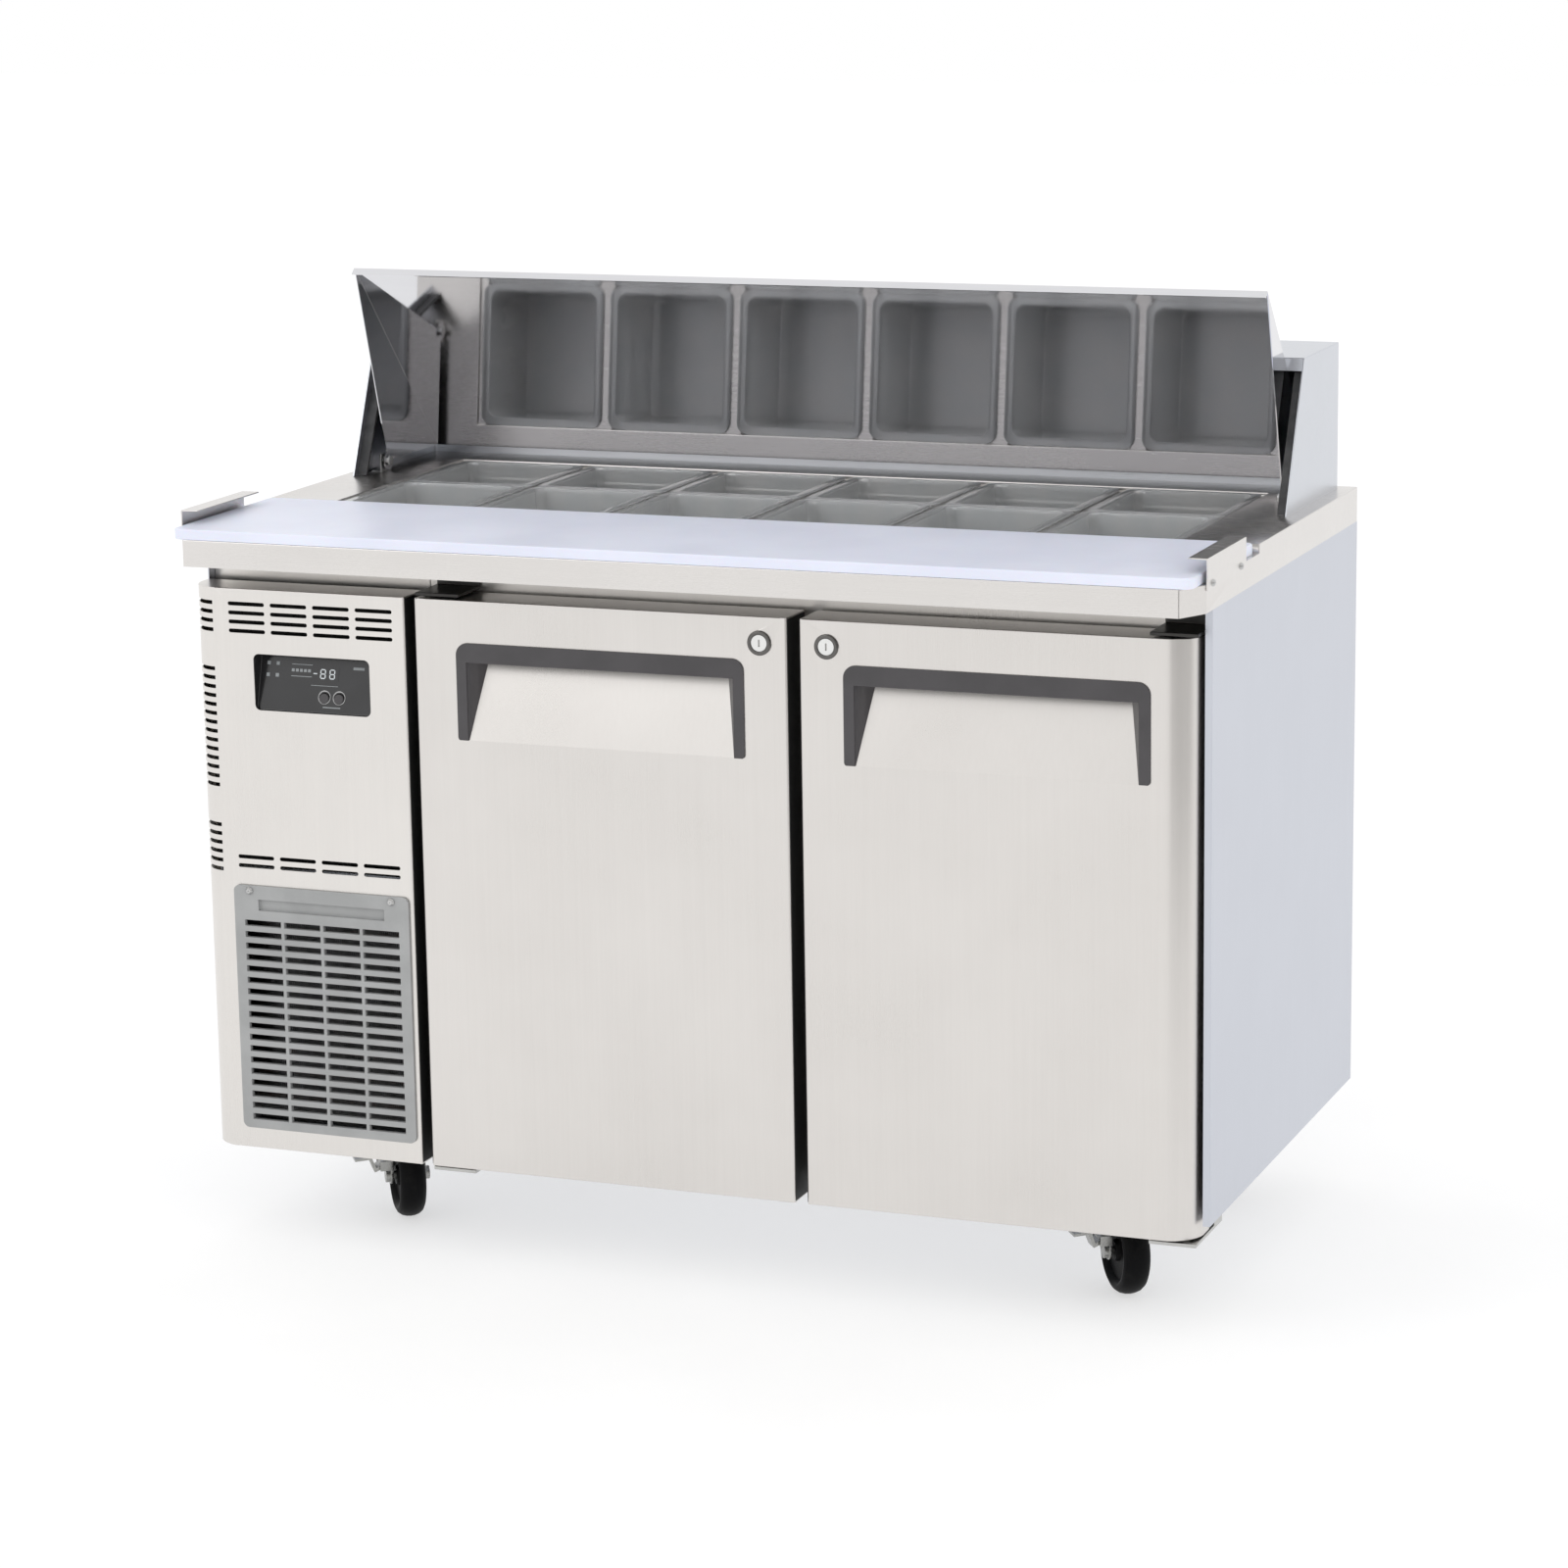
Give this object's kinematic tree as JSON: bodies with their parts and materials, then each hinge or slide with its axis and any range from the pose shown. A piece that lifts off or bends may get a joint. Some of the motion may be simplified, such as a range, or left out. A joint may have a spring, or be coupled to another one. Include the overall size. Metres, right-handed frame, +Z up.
{
  "type": "sandwich prep table",
  "caption": "Refrigerated sandwich prep table on casters: hinged mirror lid, lift-out food pans, cutting board, twin doors with recessed handles and a side machine bay.",
  "frame": {"origin": "on the floor, under the middle of the countertop", "axes": "+X to the right seen from the front, +Y to the back, +Z up"},
  "size_m": [1.2078, 0.669, 1.094],
  "materials": {
    "clear_pan": "clear polycarbonate",
    "white_board": "fine-grained white polyethylene",
    "caster_tyre": "black, moulded",
    "zinc_plate": "bright zinc plate",
    "seal_rubber": "matt",
    "dark_trim": "fine-grained dark grey",
    "lock_chrome": "polished",
    "inner_white": "white formed sheet",
    "grey_grille": "mid grey moulded",
    "black_plastic": "black",
    "foam": "rigid foam",
    "inner_steel": "stucco sheet",
    "mirror_steel": "bright annealed",
    "coil_fins": "bare fins",
    "fan_plastic": "black",
    "machine_black": "gloss black enamel",
    "screw_steel": "plain",
    "coated_wire": "white coated",
    "side_steel": "satin, bluish",
    "top_steel": "satin",
    "door_steel": "satin"
  },
  "bodies": {
    "cabinet": {"back_panel": "side_steel", "board_brackets": "top_steel", "caster_plates": "zinc_plate", "compressor": "machine_black", "condenser_coil": "coil_fins", "control_housing": "black_plastic", "countertop": "top_steel", "divider_bars": "top_steel", "door_hinge_brackets": "top_steel", "evaporator_coil": "coil_fins", "fan_motor": "machine_black", "floor_pan": "side_steel", "front_frame": "door_steel", "hood_housing": "top_steel", "inner_liner": "inner_steel", "insulation": "foam", "intake_grille": "grey_grille", "lid_hinge_brackets": "top_steel", "machine_panel": "door_steel", "panel_screws": "screw_steel", "side_panel_left": "side_steel", "side_panel_right": "side_steel", "wire_shelves": "coated_wire"},
    "lid": {"lid_shell": "mirror_steel"},
    "door_left": {"door_left_skin": "door_steel", "door_left_inner_plate": "inner_white", "door_left_gasket": "seal_rubber", "door_left_handle_trim": "dark_trim"},
    "door_left_lock": {"door_left_lock_plug": "lock_chrome"},
    "door_right": {"door_right_skin": "door_steel", "door_right_inner_plate": "inner_white", "door_right_gasket": "seal_rubber", "door_right_handle_trim": "dark_trim"},
    "door_right_lock": {"door_right_lock_plug": "lock_chrome"},
    "button_left": {"button_left": "dark_trim"},
    "button_right": {"button_right": "dark_trim"},
    "board": {"cutting_board": "white_board"},
    "fan": {"fan_blade": "fan_plastic"},
    "caster_front_left": {"caster_front_left_fork": "zinc_plate"},
    "caster_front_left_wheel": {"caster_front_left_wheel": "caster_tyre"},
    "caster_front_left_brake": {"caster_front_left_brake_lever": "zinc_plate"},
    "caster_front_right": {"caster_front_right_fork": "zinc_plate"},
    "caster_front_right_wheel": {"caster_front_right_wheel": "caster_tyre"},
    "caster_front_right_brake": {"caster_front_right_brake_lever": "zinc_plate"},
    "caster_rear_left": {"caster_rear_left_fork": "zinc_plate"},
    "caster_rear_left_wheel": {"caster_rear_left_wheel": "caster_tyre"},
    "caster_rear_right": {"caster_rear_right_fork": "zinc_plate"},
    "caster_rear_right_wheel": {"caster_rear_right_wheel": "caster_tyre"},
    "pan_front_1": {"pan_front_1": "clear_pan"},
    "pan_front_2": {"pan_front_2": "clear_pan"},
    "pan_front_3": {"pan_front_3": "clear_pan"},
    "pan_front_4": {"pan_front_4": "clear_pan"},
    "pan_front_5": {"pan_front_5": "clear_pan"},
    "pan_front_6": {"pan_front_6": "clear_pan"},
    "pan_rear_1": {"pan_rear_1": "clear_pan"},
    "pan_rear_2": {"pan_rear_2": "clear_pan"},
    "pan_rear_3": {"pan_rear_3": "clear_pan"},
    "pan_rear_4": {"pan_rear_4": "clear_pan"},
    "pan_rear_5": {"pan_rear_5": "clear_pan"},
    "pan_rear_6": {"pan_rear_6": "clear_pan"}
  },
  "joints": [
    {"name": "lid_hinge", "type": "hinge", "parent": "cabinet", "child": "lid", "pos_m": [0, 0.1473, 0.8531], "axis": [1, 0, 0], "range_deg": [0, 72]},
    {"name": "door_left_hinge", "type": "hinge", "parent": "cabinet", "child": "door_left", "pos_m": [-0.299, -0.2745, 0.1115], "axis": [0, 0, -1], "range_deg": [0, 105]},
    {"name": "door_left_lock_turn", "type": "hinge", "parent": "door_left", "child": "door_left_lock", "pos_m": [0.0985, -0.2945, 0.7413], "axis": [0, 1, 0], "range_deg": [0, 90]},
    {"name": "door_right_hinge", "type": "hinge", "parent": "cabinet", "child": "door_right", "pos_m": [0.5735, -0.2745, 0.1115], "axis": [0, 0, 1], "range_deg": [0, 105]},
    {"name": "door_right_lock_turn", "type": "hinge", "parent": "door_right", "child": "door_right_lock", "pos_m": [0.176, -0.2945, 0.7413], "axis": [0, -1, 0], "range_deg": [0, 90]},
    {"name": "button_left_press", "type": "slide", "parent": "cabinet", "child": "button_left", "axis": [0, 0.9675, -0.253], "range_m": [0, 0.0015], "stiffness_N_per_m": 400},
    {"name": "button_right_press", "type": "slide", "parent": "cabinet", "child": "button_right", "axis": [0, 0.9675, -0.253], "range_m": [0, 0.0015], "stiffness_N_per_m": 400},
    {"name": "board_pull", "type": "slide", "parent": "cabinet", "child": "board", "axis": [0, -1, 0], "range_m": [0, 0.241]},
    {"name": "fan_spin", "type": "hinge", "parent": "cabinet", "child": "fan", "pos_m": [-0.46375, -0.1985, 0.2655], "axis": [0, 1, 0], "continuous": true},
    {"name": "caster_front_left_swivel", "type": "hinge", "parent": "cabinet", "child": "caster_front_left", "pos_m": [-0.435, -0.13, 0.106], "axis": [0, 0, 1], "continuous": true},
    {"name": "caster_front_left_roll", "type": "hinge", "parent": "caster_front_left", "child": "caster_front_left_wheel", "pos_m": [-0.41737, -0.15427, 0.05], "axis": [-0.809, -0.5878, 0], "continuous": true},
    {"name": "caster_front_left_brake", "type": "hinge", "parent": "caster_front_left", "child": "caster_front_left_brake", "pos_m": [-0.44083, -0.17132, 0.066], "axis": [0.5878, -0.809, 0], "range_deg": [0, 20]},
    {"name": "caster_front_right_swivel", "type": "hinge", "parent": "cabinet", "child": "caster_front_right", "pos_m": [0.451, -0.13, 0.106], "axis": [0, 0, 1], "continuous": true},
    {"name": "caster_front_right_roll", "type": "hinge", "parent": "caster_front_right", "child": "caster_front_right_wheel", "pos_m": [0.46863, -0.15427, 0.05], "axis": [-0.809, -0.5878, 0], "continuous": true},
    {"name": "caster_front_right_brake", "type": "hinge", "parent": "caster_front_right", "child": "caster_front_right_brake", "pos_m": [0.44517, -0.17132, 0.066], "axis": [0.5878, -0.809, 0], "range_deg": [0, 20]},
    {"name": "caster_rear_left_swivel", "type": "hinge", "parent": "cabinet", "child": "caster_rear_left", "pos_m": [-0.435, 0.25, 0.106], "axis": [0, 0, 1], "continuous": true},
    {"name": "caster_rear_left_roll", "type": "hinge", "parent": "caster_rear_left", "child": "caster_rear_left_wheel", "pos_m": [-0.43083, 0.22029, 0.05], "axis": [-0.9903, -0.1392, 0], "continuous": true},
    {"name": "caster_rear_right_swivel", "type": "hinge", "parent": "cabinet", "child": "caster_rear_right", "pos_m": [0.451, 0.25, 0.106], "axis": [0, 0, 1], "continuous": true},
    {"name": "caster_rear_right_roll", "type": "hinge", "parent": "caster_rear_right", "child": "caster_rear_right_wheel", "pos_m": [0.45517, 0.22029, 0.05], "axis": [-0.9903, -0.1392, 0], "continuous": true},
    {"name": "pan_front_1_lift", "type": "slide", "parent": "cabinet", "child": "pan_front_1", "axis": [0, 0, -1], "range_m": [-0.12, 0]},
    {"name": "pan_front_2_lift", "type": "slide", "parent": "cabinet", "child": "pan_front_2", "axis": [0, 0, -1], "range_m": [-0.12, 0]},
    {"name": "pan_front_3_lift", "type": "slide", "parent": "cabinet", "child": "pan_front_3", "axis": [0, 0, -1], "range_m": [-0.12, 0]},
    {"name": "pan_front_4_lift", "type": "slide", "parent": "cabinet", "child": "pan_front_4", "axis": [0, 0, -1], "range_m": [-0.12, 0]},
    {"name": "pan_front_5_lift", "type": "slide", "parent": "cabinet", "child": "pan_front_5", "axis": [0, 0, -1], "range_m": [-0.12, 0]},
    {"name": "pan_front_6_lift", "type": "slide", "parent": "cabinet", "child": "pan_front_6", "axis": [0, 0, -1], "range_m": [-0.12, 0]},
    {"name": "pan_rear_1_lift", "type": "slide", "parent": "cabinet", "child": "pan_rear_1", "axis": [0, 0, -1], "range_m": [-0.036, 0]},
    {"name": "pan_rear_2_lift", "type": "slide", "parent": "cabinet", "child": "pan_rear_2", "axis": [0, 0, -1], "range_m": [-0.036, 0]},
    {"name": "pan_rear_3_lift", "type": "slide", "parent": "cabinet", "child": "pan_rear_3", "axis": [0, 0, -1], "range_m": [-0.036, 0]},
    {"name": "pan_rear_4_lift", "type": "slide", "parent": "cabinet", "child": "pan_rear_4", "axis": [0, 0, -1], "range_m": [-0.036, 0]},
    {"name": "pan_rear_5_lift", "type": "slide", "parent": "cabinet", "child": "pan_rear_5", "axis": [0, 0, -1], "range_m": [-0.036, 0]},
    {"name": "pan_rear_6_lift", "type": "slide", "parent": "cabinet", "child": "pan_rear_6", "axis": [0, 0, -1], "range_m": [-0.036, 0]}
  ]
}
